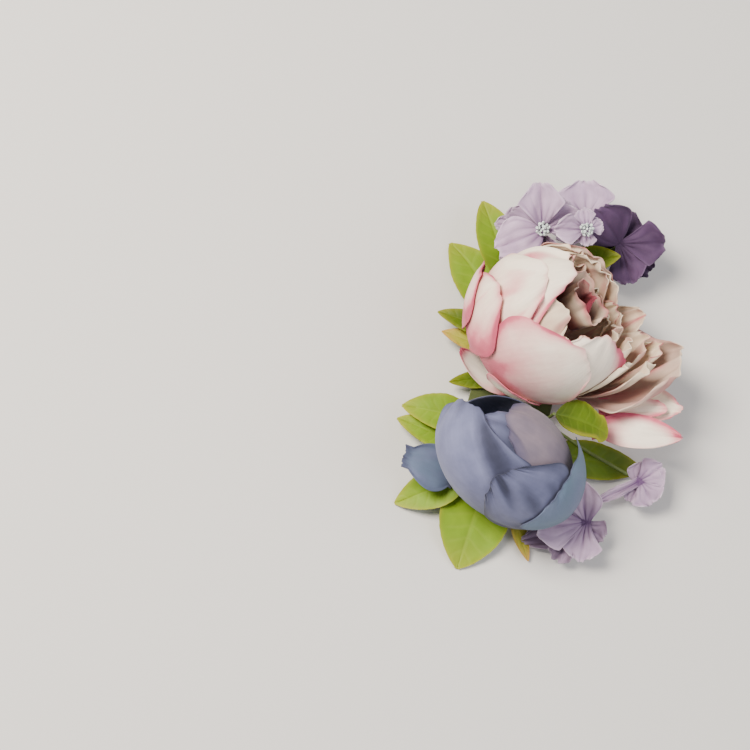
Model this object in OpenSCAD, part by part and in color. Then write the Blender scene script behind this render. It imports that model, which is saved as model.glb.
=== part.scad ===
// Flower corsage brooch: a cream and pink peony, a blue-grey rose, lilac florets and leaves,
// built up on a felt pad with a bar pin under it. Millimetres.
//
// The flowers and leaves are placed by what a person facing the wearer sees: x to that person's
// right, y up, z towards them. The garment's surface turns and leans away from that view, and
// "height" is measured at right angles from it. laid_down() turns the finished corsage onto its
// back, so that the garment's surface becomes the table at z = 0.

/* [Garment surface] */
// Turn of the garment's surface to the viewer's right
view_turn = 20; // [0:1:25]
// Lean of the garment's surface back from upright
view_lean = 15; // [0:1:20]

/* [Cloth] */
// Thickness of the petals
petal_wall = 1; // [0.8:0.1:1.1]
// Thickness of the leaves
leaf_wall = 1; // [0.8:0.1:1.1]

/* [Peony] */
// Radius of the outermost cup of the peony
peony_ball = 41; // [40:0.5:42]
// Height of the peony's middle above the garment
peony_height = 45; // [45:0.5:48]

/* [Rose] */
// Radius of the rose's body
rose_ball = 30; // [29:0.5:31]
// Height of the rose's middle above the garment
rose_height = 39; // [39:0.5:42]

/* [Pad and pin] */
// Length of the felt pad
pad_length = 104; // [90:1:110]
// Width of the felt pad
pad_width = 44; // [36:1:50]
// Thickness of the felt pad
pad_wall = 2; // [1.5:0.1:3]
// Length of the bar pin
pin_length = 46; // [35:1:60]
// Depth of the bar pin under the pad
pin_depth = 5; // [4:0.1:6]

/* [Hidden] */

// Columns of the petal tables
AROUND = 0; // degrees round the flower's axis, from the side that faces the viewer
LAYER = 1;  // radius of the ball that the petal's foot lies on, when the flower has its usual radius
FROM = 2;   // degrees from the foot of the ball to the foot of the petal
REACH = 3;  // length of the petal
HALF = 4;   // half of its width
BEND = 5;   // its own radius over the ball's
OPEN = 6;   // degrees that it leans out
CURL = 7;   // how far its tip turns out
RUFFLE = 8; // height of the waves along its edge
FLARE = 9;  // how far one side edge stands out: above 0 the far one, below 0 the near one
LEAN = 10;  // degrees that it leans sideways along the ball

// Columns of the tables of leaves and of petals that lie back
FOOT = 0;       // x, y and height
TIP = 1;        // x, y and height
LEAF_HALF = 2;  // half of its width
ARCH = 3;       // how far its middle arches up
SWING = 4;      // how far its middle swings sideways
FOLD = 5;       // how much it folds up along the midrib
ROLL = 6;       // degrees that it turns round the midrib
FOOT_SHARE = 7; // width of its foot over its half width, 0.08 where the row has none
TIP_SHARE = 8;  // width of its tip over its half width, 0.08 where the row has none

// Columns of the table of floret lobes
AIM = 0;        // degrees round the view
RISE = 1;       // degrees towards the viewer
LONG = 2;       // length
LOBE_HALF = 3;  // half of its width
CUP = 4;        // how far its edges rise
LOBE_FOLD = 5;  // how much it folds up along the middle
LOBE_ROLL = 6;  // degrees that it turns round the middle

// Outer petals of the peony
peony_rows = [
    [  6, 41.2, 36, 66, 34, 1.00,  0,  0.0, 0.1,  1.0, 34],
    [-34, 42.8, 30, 47, 24, 1.00,  0,  0.0, 0.1,  0.0,  0],
    [-64, 44.4, 30, 38, 22, 1.00,  0,  0.0, 0.1,  0.0,  0],
    [-38, 39.4, 30, 67, 32, 1.00,  0,  0.0, 0.2,  0.0,  0],
    [-47, 37.0, 30, 76, 36, 1.00,  0,  1.5, 0.2,  0.0,  0],
    [ 60, 38.8, 30, 75, 34, 1.00,  0,  0.0, 0.2,  5.0,  0],
    [ 56, 43.6, 25, 27, 22, 1.00,  0,  0.0, 0.1,  0.0,  0],
    [129, 39.0, 58, 71, 35, 1.42, 30,  0.0, 1.6,  0.0,  0],
    [200, 41.0, 75, 40, 30, 1.00,  2,  0.0, 0.2,  0.0,  0],
];
// Inner petals of the peony
peony_inner_rows = [
    [228, 37.8, 70, 40, 17, 1.00,  0,  0.0, 0.2,  0.0,  0],
    [185, 39.1, 75, 40, 20, 1.00,  2,  0.0, 0.2,  0.0,  0],
    [206, 36.2, 75, 40, 22, 1.00,  0,  0.0, 0.2,  0.0,  0],
    [134, 36.0, 45, 62, 16, 1.15, 16,  0.0, 1.0,  0.0,  0],
    [148, 34.5, 45, 51, 15, 1.10,  1,  0.0, 0.5,  0.0,  0],
    [ -2, 35.0, 40, 56, 20, 1.00,  0,  0.0, 0.3,  0.0,  0],
    [ 66, 35.6, 40, 58, 20, 1.00,  1,  0.0, 0.3,  0.0,  0],
    [-66, 33.4, 40, 50, 20, 1.00,  0,  0.0, 0.3,  0.0,  0],
    [108, 33.4, 40, 50, 17, 1.00,  0,  0.0, 0.5,  0.0,  0],
    [172, 32.8, 60, 34, 16, 1.00,  0,  0.0, 0.4,  0.0,  0],
    [ 24, 32.5, 40, 44, 14, 1.00,  0,  0.0, 0.5,  0.0,  0],
];
// Outermost petals of the peony, which lie back from the ball, with all the leaf columns
peony_outer_rows = [
    [[-15, -11, 14], [-41, 11.5, 29], 7, -3, 0, 0.0, 0, 0.3, 0.1],
    [[30, -19, 24.7], [66, -19.5, 35.2], 6.5, 1, 0, 0.0, 0, 0.8, 0.6],
    [[27, -29, 25], [73, -34.5, 36.4], 9.3, 3, 0, 0.0, 0, 0.7, 0.1],
    [[36, -13, 21.7], [74, -20, 33.2], 11, 0, 0, 0.0, 0, 0.4, 0.4],
];
// Petals of the rose
rose_rows = [
    [-66, 30.2, 25, 92, 35, 1.00,  0,  0.0, 0.1,  0.0,  8],
    [  4, 26.6, 20, 69, 33, 1.00,  0,  0.0, 0.1,  0.0,  0],
    [ 50, 28.2, 46, 42, 27, 1.00,  0,  0.0, 0.2,  0.0,  0],
    [-26, 31.9, 26, 48, 27, 1.00,  0,  0.0, 0.1,  0.0, 10],
    [ 15, 33.6, 24, 27, 31, 1.00,  0,  0.0, 0.1,  0.0,  0],
    [-140, 26.0, 45, 64, 26, 1.00,  0,  0.0, 0.2,  0.0,  0],
    [160, 27.6, 45, 60, 26, 1.00,  0,  0.0, 0.2,  0.0,  0],
    [-90, 24.0, 35, 62, 24, 1.00,  0,  0.0, 0.2,  0.0,  0],
];

// Rose petals that lie back from the bud, with all the leaf columns
rose_outer_rows = [
    [[-44, -54, 14], [-69, -42, 22], 12, 2, 0, 0.0, 0, 0.5, 0.5],
];

// The leaves
leaf_rows = [
    [[-16, 46, 17], [-30, 89, 12], 12, 2, 0, 0.2, 0],
    [[-24, 28, 10], [-47, 67, 1], 14, 2, -3, 0.1, 0],
    [[-25, 20, 15], [-52.5, 30.5, 13], 6, 2, 0, 0.2, 0],
    [[-24.5, 10, 10.5], [-50.5, 20.5, 9], 5.5, 2, 0, 0.2, 0],
    [[-18, -3, 9], [-46.5, -5.5, 9], 5, 0, 0, 0.1, 0],
    [[-34, -26, 12], [-70, -17.5, 10], 10, 3, 0, 0.2, 0],
    [[-40, -38, 9], [-72.5, -24, 7], 8, 2, 0, 0.2, 0],
    [[-38, -54, 13], [-73.5, -67, 1], 10, 1, 0, 0.2, 0],
    [[-28, -56, 9], [-42, -100, 1], 18, 1, 0, 0.1, 0],
    [[-14, -72, 6.5], [-6, -97, 2], 4, 0, 0, 0.1, 0],
    [[8, -21.8, 45], [34, -32, 46], 12.5, 2, 0, 0.1, -25, 0.15, 0.85],
    [[4, -42, 7.6], [54, -52, 1], 10, 1, 0, 0.0, 0],
    [[14, 55, 7], [42, 60, 28], 8, 2, 0, 0.2, 0],
];

// Hubs of the florets: x, y, height
floret_hubs = [
    [1.5, 73, 36],
    [24, 72.6, 47.3],
    [42, 67, 21],
    [24, 80.3, 19.6],
    [-12, 76, 25],
    [51.5, -57, 14],
    [23, -77, 17],
];
// Lobes, by floret
floret_lobes = [
    [[22, -12, 22, 10, 1, 0.0, 0],
     [93, 20, 27, 12.5, 0, 0.5, 0],
     [203, 3, 27.5, 12.5, 1, 0.1, 0]],
    [[20, -25, 10, 5, 1, 0.0, 0],
     [100, -15, 12, 6, 1, 0.0, 0],
     [180, 15, 18, 8, 0, 0.4, 0],
     [270, -10, 9, 5, 0, 0.0, 0]],
    [[0, 5, 25, 13, 1, 0.1, 0],
     [124, 32, 27, 14, 1, 0.0, 0],
     [286, 0, 23, 12, 1, 0.1, 0]],
    [[92, 5, 21, 16, 2, 0.0, 0],
     [205, 0, 20, 10, 1, 0.1, 0],
     [330, -5, 14, 9, 1, 0.0, 0]],
    [[10, -20, 10, 5, 1, 0.1, 0],
     [100, 0, 10, 5.5, 1, 0.0, 0],
     [180, 0, 12, 5, 1, 0.1, 0],
     [270, -10, 10, 5, 1, 0.0, 0]],
    [[35, 0, 15, 9, 1, 0.0, 0],
     [205, 0, 28, 3, 0, 0.3, 0],
     [300, 0, 14, 10, 1, 0.0, 0]],
    [[92, 10, 22, 9, 1, 0.1, 0],
     [186, 20, 28, 13, 1, 0.0, 0],
     [262, 0, 21, 11, 2, 0.0, 0]],
];

// Where the wire of each floret bends, on the laid-down corsage
floret_bends = [
    [-6, 66, 9],
    [9, 58, 9],
    [34, 58, 9],
    [18, 66, 9],
    [-4, 70, 9],
    [20, -46, 8.3],
    [0, -74, 9],
];
// Thickness of the wires
wire = 1.6;
// Gap left between pieces that rest on each other
gap = 0.3;
// Middle of the corsage's outline on the table, before it is centred
outline_middle = [-10.8, -3.3];
// Middle of the pad and the pin under it, and how far they are turned
pad_place = [-20, -18, 0];
pad_turn = 69;
// Height just above the pad, where the wires start
on_pad_top = pin_depth + pad_wall + gap;

// Shared geometry

// Direction at right angles to the garment, as the viewer sees it
garment_up = [cos(view_lean) * sin(view_turn), sin(view_lean), cos(view_lean) * cos(view_turn)];

function unit(v) = v / norm(v);
// A direction from its aim round the view and its rise towards the viewer
function aimed(aim, rise) = [cos(rise) * cos(aim), cos(rise) * sin(aim), sin(rise)];
function mix(a, b, share) = a + (b - a) * share;

// The point seen at x, y that stands this high above the garment
function worn(x, y, height) =
    [x, y, (height - garment_up.x * x - garment_up.y * y) / garment_up.z];
function worn_at(place) = worn(place[0], place[1], place[2]);

// Puts the middle of the corsage's outline on the table over the origin
module centred() {
    translate([-outline_middle.x, -outline_middle.y, 0]) children();
}

// Turns the corsage from the worn view onto its back
module laid_down() {
    centred() rotate([view_lean, 0, 0]) rotate([0, -view_turn, 0]) children();
}

// A sheet of cloth: form(across, along) gives its middle, with across from -1 to 1
module sheet(form, columns, rows, wall) {
    middle = [for (j = [0:rows]) [for (i = [0:columns]) form(2 * i / columns - 1, j / rows)]];
    half = [for (j = [0:rows]) [for (i = [0:columns])
        unit(cross(middle[j][min(i + 1, columns)] - middle[j][max(i - 1, 0)],
                   middle[min(j + 1, rows)][i] - middle[max(j - 1, 0)][i])) * wall / 2]];
    wide = columns + 1;
    count = wide * (rows + 1);
    points = [for (side = [1, -1], j = [0:rows], i = [0:columns]) middle[j][i] + side * half[j][i]];
    rim = concat([for (i = [0:columns - 1]) i],
                 [for (j = [0:rows - 1]) j * wide + columns],
                 [for (i = [columns:-1:1]) rows * wide + i],
                 [for (j = [rows:-1:1]) j * wide]);
    faces = concat(
        [for (j = [0:rows - 1], i = [0:columns - 1], part = [0, 1])
            let (a = j * wide + i) part == 0 ? [a, a + wide, a + 1] : [a + 1, a + wide, a + wide + 1]],
        [for (j = [0:rows - 1], i = [0:columns - 1], part = [0, 1])
            let (a = count + j * wide + i) part == 0 ? [a, a + 1, a + wide] : [a + 1, a + wide + 1, a + wide]],
        [for (k = [0:len(rim) - 1], part = [0, 1])
            let (a = rim[k], b = rim[(k + 1) % len(rim)])
            part == 0 ? [a, b, b + count] : [a, b + count, a + count]]);
    polyhedron(points, faces);
}

// A flower's frame: middle, axis, the side that faces the viewer, the side next to it, stretch
// along the axis, how far inner layers stand forward, radius, the radius its table was drawn for
function flower(x, y, height, aim, rise, tall, crowd, ball, usual) =
    let (axis = aimed(aim, rise),
         front = unit([0, 0, 1] - axis.z * axis))
    [worn(x, y, height), axis, front, cross(axis, front), tall, crowd, ball, usual];

// Half width of a petal along its length, as a share: foot, widest place, tip
function cut(t, foot, widest, tip) =
    t < widest ? mix(foot, 1, sin(90 * t / widest))
    : mix(tip, 1, cos(90 * (t - widest) / (1 - widest)));

// The petal's surface, as a function of across and along
function petal(f, row, foot = 0.25, widest = 0.58, tip = 0.5, round = 0.1, waves = 2.5) =
    let (ball = row[LAYER] + f[6] - f[7],
         out = f[2] * cos(row[AROUND]) + f[3] * sin(row[AROUND]),
         beside = -f[2] * sin(row[AROUND]) + f[3] * cos(row[AROUND]),
         up = f[1] * f[4],
         rise = out * cos(row[FROM]) + up * sin(row[FROM]),
         outward = out * sin(row[FROM]) - up * cos(row[FROM]),
         onward = rise * cos(row[LEAN]) + beside * sin(row[LEAN]),
         sideways = beside * cos(row[LEAN]) - rise * sin(row[LEAN]),
         own = ball * row[BEND],
         hinge = f[0] + up * f[5] * (f[6] - ball) + outward * ball)
    function (across, along)
        let (t0 = 1 - pow(1 - along, 1.35),
             t = t0 * (1 - round * across * across),
             turn = t * row[REACH] / own * 180 / PI,
             sweep = across * row[HALF] * cut(t0, foot, widest, tip) / own * 180 / PI,
             edge = max(t * t * t, abs(across * across * across) * t),
             flare = pow(max(0, row[FLARE] * across), 1.5) / sqrt(max(1, abs(row[FLARE]))),
             r = own + row[CURL] * pow(t, 5) + flare * min(1, 2 * t)
                 + row[RUFFLE] * edge * sin(waves * 180 * across + row[AROUND] * 3),
             far = r * cos(sweep) * cos(turn) - own,
             on = r * cos(sweep) * sin(turn))
        hinge + outward * (far * cos(row[OPEN]) + on * sin(row[OPEN]))
            + onward * (on * cos(row[OPEN]) - far * sin(row[OPEN])) + sideways * r * sin(sweep);

// A leaf's surface from a row of the leaf table
function leaf(row) =
    let (foot = worn_at(row[FOOT]), tip = worn_at(row[TIP]), along_it = unit(tip - foot),
         flat = unit(cross(garment_up, along_it)),
         side = flat * cos(row[ROLL]) + cross(along_it, flat) * sin(row[ROLL]),
         up = cross(along_it, side),
         ends = len(row) > FOOT_SHARE ? [row[FOOT_SHARE], row[TIP_SHARE]] : [0.08, 0.08])
    function (across, along)
        let (share = max(mix(ends[0], ends[1], along), pow(sin(180 * pow(along, 0.8)), 0.7)),
             w = row[LEAF_HALF] * share)
        mix(foot, tip, along) + (up * row[ARCH] + side * row[SWING]) * 4 * along * (1 - along)
            + side * across * w + up * abs(across) * w * row[FOLD];

// A floret's lobe: a function of across and along, from its hub; room limits its width near the hub
function lobe(hub, row, room) =
    let (along_it = aimed(row[AIM], row[RISE]),
         flat = unit(cross([0, 0, 1], along_it)),
         side = flat * cos(row[LOBE_ROLL]) + cross(along_it, flat) * sin(row[LOBE_ROLL]),
         up = cross(along_it, side))
    function (across, along)
        let (w = min(row[LOBE_HALF] * cut(along, 0.25, 0.6, 0.5), room * row[LONG] * along))
        hub + along_it * row[LONG] * along * (1 - 0.1 * across * across) + side * across * w
            + up * (row[CUP] * across * across * along + row[LOBE_FOLD] * abs(across) * w);

// A floret cut from one sheet: a hub with three or four lobes
module floret(hub, lobes, columns = 4, rows = 3, wall = petal_wall, hub_ring = 3) {
    count = len(lobes);
    parting = [for (k = [0:count - 1]) (lobes[(k + 1) % count][AIM] - lobes[k][AIM] + 720) % 360];
    corner = [for (k = [0:count - 1])
        let (rise = (lobes[k][RISE] + lobes[(k + 1) % count][RISE]) / 2)
        hub + hub_ring * aimed(lobes[k][AIM] + parting[k] / 2, rise)];
    forms = [for (k = [0:count - 1])
        lobe(hub, lobes[k], 0.8 * tan(min(150, parting[k], parting[(k + count - 1) % count]) / 2))];
    middle = [for (k = [0:count - 1]) [for (j = [0:rows]) [for (i = [0:columns])
        let (foot = mix(corner[(k + count - 1) % count], corner[k], i / columns))
        mix(foot, forms[k](2 * i / columns - 1, j / rows), min(1, 2.5 * j / rows))]]];
    facing = unit([for (k = [0:count - 1]) 1]
                  * [for (k = [0:count - 1]) cross(corner[(k + 1) % count] - hub, corner[k] - hub)]);
    function normal(k, j, i) = j == 0 ? facing :
        unit(cross(middle[k][j][min(i + 1, columns)] - middle[k][j][max(i - 1, 0)],
                   middle[k][min(j + 1, rows)][i] - middle[k][j - 1][i]));
    ring = count * columns;
    total = 1 + ring + count * rows * (columns + 1);
    function at(k, j, i) = j == 0 ? 1 + (k * columns + i) % ring
        : 1 + ring + (k * rows + j - 1) * (columns + 1) + i;
    points = [for (side = [0.5, -0.5]) each concat(
        [hub + facing * wall * side],
        [for (k = [0:count - 1], i = [0:columns - 1]) middle[k][0][i] + facing * wall * side],
        [for (k = [0:count - 1], j = [1:rows], i = [0:columns])
            middle[k][j][i] + normal(k, j, i) * wall * side])];
    upper = concat(
        [for (k = [0:count - 1], i = [0:columns - 1]) [0, at(k, 0, i), at(k, 0, i + 1)]],
        [for (k = [0:count - 1], j = [0:rows - 1], i = [0:columns - 1], part = [0, 1])
            part == 0 ? [at(k, j, i), at(k, j + 1, i), at(k, j, i + 1)]
            : [at(k, j, i + 1), at(k, j + 1, i), at(k, j + 1, i + 1)]]);
    lower = [for (face = upper) [face[0] + total, face[2] + total, face[1] + total]];
    rim = [for (k = [0:count - 1]) each concat(
        [for (j = [0:rows]) at(k, j, 0)],
        [for (i = [1:columns]) at(k, rows, i)],
        [for (j = [rows - 1:-1:1]) at(k, j, columns)])];
    sides = [for (n = [0:len(rim) - 1], part = [0, 1])
        let (a = rim[n], b = rim[(n + 1) % len(rim)])
        part == 0 ? [b, a, a + total] : [b, a + total, b + total]];
    polyhedron(points, concat(upper, lower, sides));
}

peony = flower(5.6, 26, peony_height, 28.6, 27, 1, 0.2, peony_ball, 41);
rose = flower(-16.3, -43.5, rose_height, 139.7, 30, 1.35, 0, rose_ball, 30);

// Where a place in the worn view lies once the corsage is on its back
function on_back(v) =
    let (out = v.x * sin(view_turn) + v.z * cos(view_turn))
    [v.x * cos(view_turn) - v.z * sin(view_turn),
     v.y * cos(view_lean) - out * sin(view_lean),
     v.y * sin(view_lean) + out * cos(view_lean)];

// A round rod between two places
module rod(from, to, thick) {
    run = to - from;
    translate(from) rotate([0, acos(run.z / norm(run)), atan2(run.y, run.x)])
        cylinder(h = norm(run), d = thick, $fn = 12);
}

module peony_petal(i) {
    color([0.93, 0.87, 0.83])
        laid_down() sheet(petal(peony, peony_rows[i]), 6, 7, petal_wall);
}

module peony_inner(i) {
    color([0.75, 0.65, 0.58])
        laid_down() sheet(petal(peony, peony_inner_rows[i]), 5, 5, petal_wall);
}

module peony_outer(i) {
    color([0.93, 0.87, 0.83])
        laid_down() sheet(leaf(peony_outer_rows[i]), 4, 6, petal_wall);
}

module rose_petal(i) {
    color([0.55, 0.57, 0.67])
        laid_down() sheet(petal(rose, rose_rows[i]), 6, 7, petal_wall);
}

module rose_outer(i) {
    color([0.58, 0.6, 0.68])
        laid_down() sheet(leaf(rose_outer_rows[i]), 4, 6, petal_wall);
}

module leaf_piece(i) {
    color([0.55, 0.6, 0.3])
        laid_down() sheet(leaf(leaf_rows[i]), 4, 6, leaf_wall);
}

module floret_piece(i) {
    color([0.7, 0.6, 0.75])
        laid_down() floret(worn_at(floret_hubs[i]), floret_lobes[i]);
}

// A strip of cloth gathered and rolled up round the peony's axis
module peony_heart() {
    first = 60;     // degrees at which the roll starts
    rolled = 620;   // degrees that it is rolled through
    inside = 5;     // radius at its start
    spread = 11;    // how much wider it is at its end
    raised = 17;    // height of its middle along the axis
    half = 9;       // half of its width at its start
    lost = 3;       // how much narrower than that it is at its end
    pleat = 1.3;    // depth of its pleats
    wave = 1.2;     // height of the waves along its upper edge
    lean_out = 0.12;
    strip = function (across, along)
        let (turn = rolled * along + first, r = inside + spread * along + pleat * sin(turn * 4.5),
             up = raised + across * (half - lost * along) + wave * sin(turn * 3.2) * max(0, across),
             lean = 1 + lean_out * across)
        peony[0] + peony[1] * up + r * lean * (peony[2] * cos(turn) + peony[3] * sin(turn));
    color([0.75, 0.5, 0.5])
        laid_down() sheet(strip, 2, 56, petal_wall);
}

// A post on the pad, with the stalk and the cup that carry the peony's petals and heart
module peony_core() {
    post = 9;
    knot = 12;
    stalk = 6;
    spike = 4.8;
    spike_length = 17;
    cup_back = 24;
    cup_wall = 2;
    cup_width = 39;
    middle = on_back(peony[0]);
    cup = on_back(peony[0] - cup_back * peony[1]);
    cup_foot = on_back(peony[0] - (cup_back + cup_wall) * peony[1]);
    color([0.45, 0.45, 0.3]) centred() {
        translate([middle.x, middle.y, on_pad_top])
            cylinder(h = middle.z - on_pad_top, d = post, $fn = 24);
        translate(middle) sphere(d = knot, $fn = 24);
        rod(middle, on_back(peony[0] + spike_length * peony[1]), spike);
        rod(middle, cup, stalk);
        rod(cup, cup_foot, cup_width);
    }
}

// A wadded ball and a cup on a bent wire, which carries the rose
module rose_core() {
    wad = 20;
    thick_wire = 3;
    bend_back = 38.5;
    cup_back = 22;
    cup_wall = 3.5;
    cup_width = 26;
    middle = on_back(rose[0]);
    bend = on_back(rose[0] - bend_back * rose[1]);
    cup = on_back(rose[0] - cup_back * rose[1]);
    cup_foot = on_back(rose[0] - (cup_back + cup_wall) * rose[1]);
    color([0.45, 0.45, 0.3]) centred() {
        translate(middle) sphere(d = wad, $fn = 24);
        rod(middle, bend, thick_wire);
        rod(cup, cup_foot, cup_width);
        translate(bend) sphere(d = thick_wire + 0.4, $fn = 16);
        rod(bend, [-13, -46, on_pad_top + thick_wire / 2 + 0.1], thick_wire);
    }
}

// Seed beads over the hubs of the two open florets
module floret_beads() {
    bead = 2.4;
    ring = 2.9;
    ring_height = 3.1;
    middle_height = 4.1;
    places = concat([[0, 0, middle_height]],
                    [for (i = [0:5]) [ring * cos(60 * i), ring * sin(60 * i), ring_height]]);
    color([0.85, 0.88, 0.84]) laid_down()
        for (hub = [floret_hubs[0], floret_hubs[1]], place = places)
            translate(worn_at(hub) + place) sphere(d = bead, $fn = 12);
}

// The place on the pad nearest to a place, where its wire starts
function on_pad(place) =
    let (away = [place.x - pad_place.x, place.y - pad_place.y],
         along_it = away.x * cos(pad_turn) + away.y * sin(pad_turn),
         beside = away.y * cos(pad_turn) - away.x * sin(pad_turn),
         share = 0.95 / max(0.95, norm([2 * along_it / pad_length, 2 * beside / pad_width])),
         start = [pad_place.x + away.x * share, pad_place.y + away.y * share, on_pad_top],
         run = unit(place - start))
    start + [0, 0, norm([run.x, run.y]) * wire / 2];

// The place just before a leaf's foot, in line with the leaf
function before_foot(row) =
    let (foot = on_back(worn_at(row[0])), tip = on_back(worn_at(row[1])))
    foot - unit(tip - foot);

// Wires from the pad to each floret and leaf
module stems() {
    color([0.3, 0.2, 0.3]) centred() {
        for (i = [0:len(floret_hubs) - 1]) {
            rod(on_pad(floret_bends[i]), floret_bends[i], wire);
            translate(floret_bends[i]) sphere(d = wire + 0.2, $fn = 12);
            rod(floret_bends[i], on_back(worn_at(floret_hubs[i]) - [0, 0, 1.9]), wire);
        }
        for (row = leaf_rows)
            rod(on_pad(before_foot(row)), before_foot(row), wire);
    }
}

// The pin: a bar under the pad, a barrel at one end, the needle, and its catch at the other end
module bar_pin() {
    bar = [pin_length, 7, 0.8];
    barrel = 5;
    inset = 3;
    needle = 1.2;
    catch = 4;
    color([0.7, 0.7, 0.72]) centred() translate(pad_place) rotate([0, 0, pad_turn]) {
        translate([-bar.x / 2, -bar.y / 2, pin_depth - gap - bar.z]) cube(bar);
        translate([inset - bar.x / 2, -barrel / 2, pin_depth / 2]) rotate([-90, 0, 0])
            cylinder(h = barrel, d = pin_depth - 1, $fn = 24);
        translate([inset - bar.x / 2, 0, pin_depth / 2 - 0.8]) rotate([0, 90, 0])
            cylinder(h = bar.x - 2 * inset, d = needle, $fn = 12);
        translate([bar.x / 2 - catch - 1, -catch / 2, 0]) cube([catch, catch, pin_depth - gap - bar.z / 2]);
    }
}

module felt_pad() {
    color([0.3, 0.3, 0.25]) centred()
        translate(pad_place + [0, 0, pin_depth]) rotate([0, 0, pad_turn])
            linear_extrude(pad_wall) scale([pad_length / pad_width, 1]) circle(d = pad_width, $fn = 64);
}

for (i = [0:len(peony_rows) - 1])
    peony_petal(i);
for (i = [0:len(peony_inner_rows) - 1])
    peony_inner(i);
for (i = [0:len(peony_outer_rows) - 1])
    peony_outer(i);
for (i = [0:len(rose_rows) - 1])
    rose_petal(i);
for (i = [0:len(rose_outer_rows) - 1])
    rose_outer(i);
for (i = [0:len(leaf_rows) - 1])
    leaf_piece(i);
for (i = [0:len(floret_hubs) - 1])
    floret_piece(i);
peony_heart();
peony_core();
rose_core();
floret_beads();
stems();
felt_pad();
bar_pin();
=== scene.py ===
"""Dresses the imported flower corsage: petals, leaves and florets of shaped cloth, on its felt pad and pin.

The tables repeat the places and sizes of the part's source. They are in millimetres and degrees, in the
front view: x to the right, y up, and heights above the table that the part lies on. seen() gives a point
of that view, and on_table() lays points as the part lies, on its back, in metres.
"""

import math
from typing import NamedTuple

import bpy
import numpy as np
from mathutils import Matrix, Vector


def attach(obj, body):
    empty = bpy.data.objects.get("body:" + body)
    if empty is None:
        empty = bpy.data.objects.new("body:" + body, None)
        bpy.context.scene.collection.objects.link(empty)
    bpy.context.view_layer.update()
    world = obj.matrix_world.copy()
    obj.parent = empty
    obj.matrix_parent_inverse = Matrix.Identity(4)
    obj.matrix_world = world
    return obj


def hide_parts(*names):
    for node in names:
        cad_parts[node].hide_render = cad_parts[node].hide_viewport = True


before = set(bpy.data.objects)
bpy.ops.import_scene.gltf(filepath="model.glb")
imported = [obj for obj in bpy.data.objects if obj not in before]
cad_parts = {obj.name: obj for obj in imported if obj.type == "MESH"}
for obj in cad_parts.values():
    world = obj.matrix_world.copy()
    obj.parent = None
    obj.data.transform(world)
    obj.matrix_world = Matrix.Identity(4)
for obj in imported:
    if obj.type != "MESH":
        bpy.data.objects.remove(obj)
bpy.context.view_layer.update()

MM = 0.001
# how far the view is turned and leant from straight above the part
VIEW_TURN = math.radians(20)
VIEW_LEAN = math.radians(15)
TO_TABLE = np.array(Matrix.Rotation(VIEW_LEAN, 3, "X") @ Matrix.Rotation(-VIEW_TURN, 3, "Y"))
TABLE_UP = TO_TABLE[2]
# moves the middle of the part's outline to the origin
CENTRE = np.array([10.8, 3.3, 0.0])
# thickness of the stiffened cloth, and the angle up to which its surface is shaded smooth
CLOTH = 0.45
SOFT_ANGLE = math.radians(70)


def on_table(points):
    """Points of the front view, in millimetres, as they lie on the table, in metres."""
    return (np.asarray(points) @ TO_TABLE.T + CENTRE) * MM


def seen(spot):
    """The point seen at x, y that stands at the given height above the table."""
    x, y, height = spot
    return np.array([x, y, (height - TABLE_UP[0] * x - TABLE_UP[1] * y) / TABLE_UP[2]])


def unit(v):
    return v / np.linalg.norm(v, axis=-1, keepdims=True)


def mix(a, b, share):
    return a + (b - a) * share


def smooth(low, high, x):
    """0 at low, 1 at high, and an S curve between them, which falls where low is the greater."""
    t = np.clip((x - low) / (high - low), 0, 1)
    return t * t * (3 - 2 * t)


def aimed(aim, rise):
    """A direction from its aim round the view and its rise towards the viewer, in degrees."""
    aim, rise = math.radians(aim), math.radians(rise)
    return np.array([math.cos(rise) * math.cos(aim), math.cos(rise) * math.sin(aim), math.sin(rise)])


def ripple(u, v, seed):
    """A smooth uneven pattern between about -1 and 1, the same for the same seed."""
    draw = np.random.default_rng(seed)
    total = 0
    for step in range(1, 5):
        a, b, c = draw.uniform(1.5, 3.5) * step, draw.uniform(1.5, 3.5) * step, draw.uniform(0, 6.28)
        total = total + np.sin(a * u * draw.choice([-1, 1]) + b * v + c) / step
    # the four steps' strengths add up to 2.08
    return total / 2.08


# Petals that cup round a flower's axis

# where a flower's layers grow from, which way its axis points, how tall it is for its width, and how
# much a layer is raised for each millimetre that it is smaller than the ball
PEONY = dict(at=(5.6, 26, 45), aim=28.6, rise=27, tall=1.0, crowd=0.2, ball=41)
ROSE = dict(at=(-16.3, -43.5, 39), aim=139.7, rise=30, tall=1.35, crowd=0.0, ball=30)


class Petal(NamedTuple):
    """One petal of a cupped flower, in millimetres and degrees."""

    around: float  # place round the axis
    layer: float  # radius of its layer
    start: float  # angle up the layer at which it starts
    reach: float
    half: float  # half its width
    bend: float = 1.0  # radius of its own bend, as a share of the layer's
    opening: float = 0  # how far it leans away from the axis
    curl: float = 0.0  # of its tip
    ruffle: float = 0.1  # of its rim
    flare: float = 0.0  # how far one side stands out
    lean: float = 0  # to the side


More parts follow.
